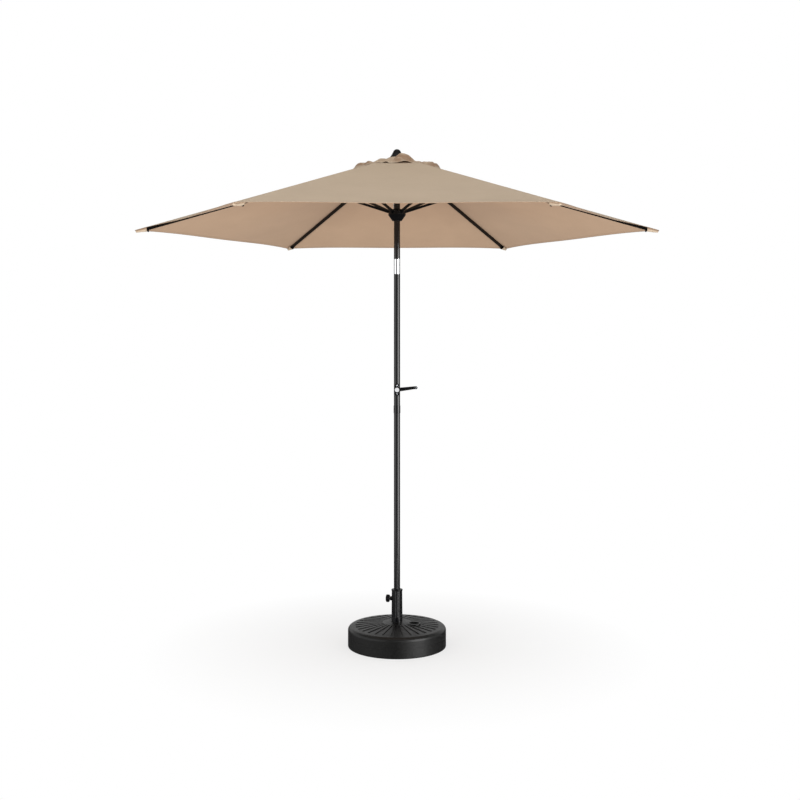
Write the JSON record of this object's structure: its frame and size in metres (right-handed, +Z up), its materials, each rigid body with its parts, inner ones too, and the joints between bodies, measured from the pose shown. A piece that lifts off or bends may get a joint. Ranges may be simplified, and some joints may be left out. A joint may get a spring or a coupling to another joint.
{
  "type": "patio umbrella with base",
  "caption": "Hexagonal folding patio umbrella with crank lift and tilting mast, standing in a round fillable base with a clamped socket tube.",
  "frame": {"origin": "centre of the base's underside, on the pole's axis", "axes": "+Z up along the pole, +X towards a canopy corner, -Y the side that carries the crank"},
  "size_m": [2.7, 2.3382, 2.555],
  "materials": {
    "base_plastic": "moulded charcoal plastic",
    "black_plastic": "moulded black plastic, satin",
    "gloss_plastic": "moulded black plastic, glossy",
    "black_paint": "black powder coat, satin",
    "chrome": "bright chrome plate",
    "zinc": "zinc-plated steel",
    "pale_plastic": "pale grey plastic",
    "cord": "braided grey cord",
    "canopy_cloth": "tan woven polyester"
  },
  "bodies": {
    "base": {"base_tank": "base_plastic", "socket_tube": "gloss_plastic", "socket_collar": "black_plastic", "foot_cup": "black_plastic", "clamp_nut": "zinc"},
    "clamp": {"clamp_bolt": "zinc", "clamp_knob": "black_plastic"},
    "filler": {"filler_plug": "black_plastic"},
    "lower_pole": {"lower_pole": "black_paint", "joint_spigot": "zinc", "joint_collar": "black_plastic"},
    "upper_pole": {"middle_pole": "black_paint", "crank_housing": "black_plastic", "housing_screws": "zinc", "tilt_lower": "chrome", "tilt_pins": "zinc", "button_spring": "zinc", "lift_cord_lower": "cord"},
    "crank": {"crank_shaft": "zinc", "crank_spool": "black_plastic", "crank_arm": "black_plastic", "crank_cap": "pale_plastic", "grip_pin": "zinc"},
    "grip": {"crank_grip": "black_plastic"},
    "button": {"tilt_button": "black_plastic"},
    "mast": {"mast_tube": "black_paint", "tilt_upper": "chrome", "top_hub": "black_plastic", "hub_pins": "zinc", "finial": "black_plastic", "lift_cord_upper": "cord", "canopy": "canopy_cloth", "vent_cap": "canopy_cloth"},
    "runner": {"runner": "black_plastic"},
    "pulley": {"cord_pulley": "pale_plastic"},
    "rib_1": {"rib_1": "black_paint", "rib_tip_1": "black_plastic", "strut_bracket_1": "black_paint"},
    "strut_1": {"strut_1": "black_paint"},
    "rib_2": {"rib_2": "black_paint", "rib_tip_2": "black_plastic", "strut_bracket_2": "black_paint"},
    "strut_2": {"strut_2": "black_paint"},
    "rib_3": {"rib_3": "black_paint", "rib_tip_3": "black_plastic", "strut_bracket_3": "black_paint"},
    "strut_3": {"strut_3": "black_paint"},
    "rib_4": {"rib_4": "black_paint", "rib_tip_4": "black_plastic", "strut_bracket_4": "black_paint"},
    "strut_4": {"strut_4": "black_paint"},
    "rib_5": {"rib_5": "black_paint", "rib_tip_5": "black_plastic", "strut_bracket_5": "black_paint"},
    "strut_5": {"strut_5": "black_paint"},
    "rib_6": {"rib_6": "black_paint", "rib_tip_6": "black_plastic", "strut_bracket_6": "black_paint"},
    "strut_6": {"strut_6": "black_paint"}
  },
  "joints": [
    {"name": "clamp_turn", "type": "hinge", "parent": "base", "child": "clamp", "pos_m": [0, 0, 0.242], "axis": [-0.9744, 0.225, 0], "range_deg": [0, 720]},
    {"name": "filler_lift", "type": "slide", "parent": "base", "child": "filler", "axis": [0, 0, 1], "range_m": [0, 0.06]},
    {"name": "pole_swivel", "type": "hinge", "parent": "base", "child": "lower_pole", "pos_m": [0, 0, 0.2], "axis": [0, 0, 1], "continuous": true},
    {"name": "pole_lift", "type": "slide", "parent": "lower_pole", "child": "upper_pole", "axis": [0, 0, 1], "range_m": [0, 0.07]},
    {"name": "crank_turn", "type": "hinge", "parent": "upper_pole", "child": "crank", "pos_m": [0, 0, 1.318], "axis": [0, -1, 0], "range_deg": [0, 3306]},
    {"name": "grip_spin", "type": "hinge", "parent": "crank", "child": "grip", "pos_m": [0.09699, -0.05, 1.32974], "axis": [0, -1, 0], "continuous": true},
    {"name": "button_push", "type": "slide", "parent": "upper_pole", "child": "button", "axis": [0, -1, 0], "range_m": [0, 0.003], "stiffness_N_per_m": 900, "springref_m": -0.002, "deforming": ["button_spring"]},
    {"name": "tilt", "type": "hinge", "parent": "upper_pole", "child": "mast", "pos_m": [0, 0, 1.9505], "axis": [-1, 0, 0], "range_deg": [0, 35]},
    {"name": "runner_slide", "type": "slide", "parent": "mast", "child": "runner", "axis": [0, 0, 1], "range_m": [-0.60839, 0], "deforming": ["canopy", "vent_cap", "lift_cord_upper"]},
    {"name": "pulley_turn", "type": "hinge", "parent": "mast", "child": "pulley", "pos_m": [-0.00758, -0.00438, 2.4632], "axis": [-0.5, 0.866, 0], "range_deg": [-3244, 0]},
    {"name": "rib_fold_1", "type": "hinge", "parent": "mast", "child": "rib_1", "pos_m": [0.032, 0, 2.4972], "axis": [0, 1, 0], "range_deg": [0, 68.01]},
    {"name": "strut_fold_1", "type": "hinge", "parent": "rib_1", "child": "strut_1", "pos_m": [0.45089, 0, 2.36257], "axis": [0, -1, 0], "range_deg": [0, 136.02]},
    {"name": "rib_fold_2", "type": "hinge", "parent": "mast", "child": "rib_2", "pos_m": [0.016, 0.02771, 2.4972], "axis": [-0.866, 0.5, 0], "range_deg": [0, 68.01]},
    {"name": "strut_fold_2", "type": "hinge", "parent": "rib_2", "child": "strut_2", "pos_m": [0.22545, 0.39049, 2.36257], "axis": [0.866, -0.5, 0], "range_deg": [0, 136.02]},
    {"name": "rib_fold_3", "type": "hinge", "parent": "mast", "child": "rib_3", "pos_m": [-0.016, 0.02771, 2.4972], "axis": [-0.866, -0.5, 0], "range_deg": [0, 68.01]},
    {"name": "strut_fold_3", "type": "hinge", "parent": "rib_3", "child": "strut_3", "pos_m": [-0.22545, 0.39049, 2.36257], "axis": [0.866, 0.5, 0], "range_deg": [0, 136.02]},
    {"name": "rib_fold_4", "type": "hinge", "parent": "mast", "child": "rib_4", "pos_m": [-0.032, 0, 2.4972], "axis": [0, -1, 0], "range_deg": [0, 68.01]},
    {"name": "strut_fold_4", "type": "hinge", "parent": "rib_4", "child": "strut_4", "pos_m": [-0.45089, 0, 2.36257], "axis": [0, 1, 0], "range_deg": [0, 136.02]},
    {"name": "rib_fold_5", "type": "hinge", "parent": "mast", "child": "rib_5", "pos_m": [-0.016, -0.02771, 2.4972], "axis": [0.866, -0.5, 0], "range_deg": [0, 68.01]},
    {"name": "strut_fold_5", "type": "hinge", "parent": "rib_5", "child": "strut_5", "pos_m": [-0.22545, -0.39049, 2.36257], "axis": [-0.866, 0.5, 0], "range_deg": [0, 136.02]},
    {"name": "rib_fold_6", "type": "hinge", "parent": "mast", "child": "rib_6", "pos_m": [0.016, -0.02771, 2.4972], "axis": [0.866, 0.5, 0], "range_deg": [0, 68.01]},
    {"name": "strut_fold_6", "type": "hinge", "parent": "rib_6", "child": "strut_6", "pos_m": [0.22545, -0.39049, 2.36257], "axis": [-0.866, -0.5, 0], "range_deg": [0, 136.02]}
  ],
  "couplings": [
    {"joint": "crank_turn", "follows": "runner_slide", "rad_per_m": -94.787},
    {"joint": "pulley_turn", "follows": "runner_slide", "rad_per_m": 93.023},
    {"joint": "rib_fold_1", "follows": "runner_slide", "rad_per_m": -1.9508},
    {"joint": "strut_fold_1", "follows": "runner_slide", "rad_per_m": -3.9015},
    {"joint": "rib_fold_2", "follows": "runner_slide", "rad_per_m": -1.9508},
    {"joint": "strut_fold_2", "follows": "runner_slide", "rad_per_m": -3.9015},
    {"joint": "rib_fold_3", "follows": "runner_slide", "rad_per_m": -1.9508},
    {"joint": "strut_fold_3", "follows": "runner_slide", "rad_per_m": -3.9015},
    {"joint": "rib_fold_4", "follows": "runner_slide", "rad_per_m": -1.9508},
    {"joint": "strut_fold_4", "follows": "runner_slide", "rad_per_m": -3.9015},
    {"joint": "rib_fold_5", "follows": "runner_slide", "rad_per_m": -1.9508},
    {"joint": "strut_fold_5", "follows": "runner_slide", "rad_per_m": -3.9015},
    {"joint": "rib_fold_6", "follows": "runner_slide", "rad_per_m": -1.9508},
    {"joint": "strut_fold_6", "follows": "runner_slide", "rad_per_m": -3.9015}
  ]
}
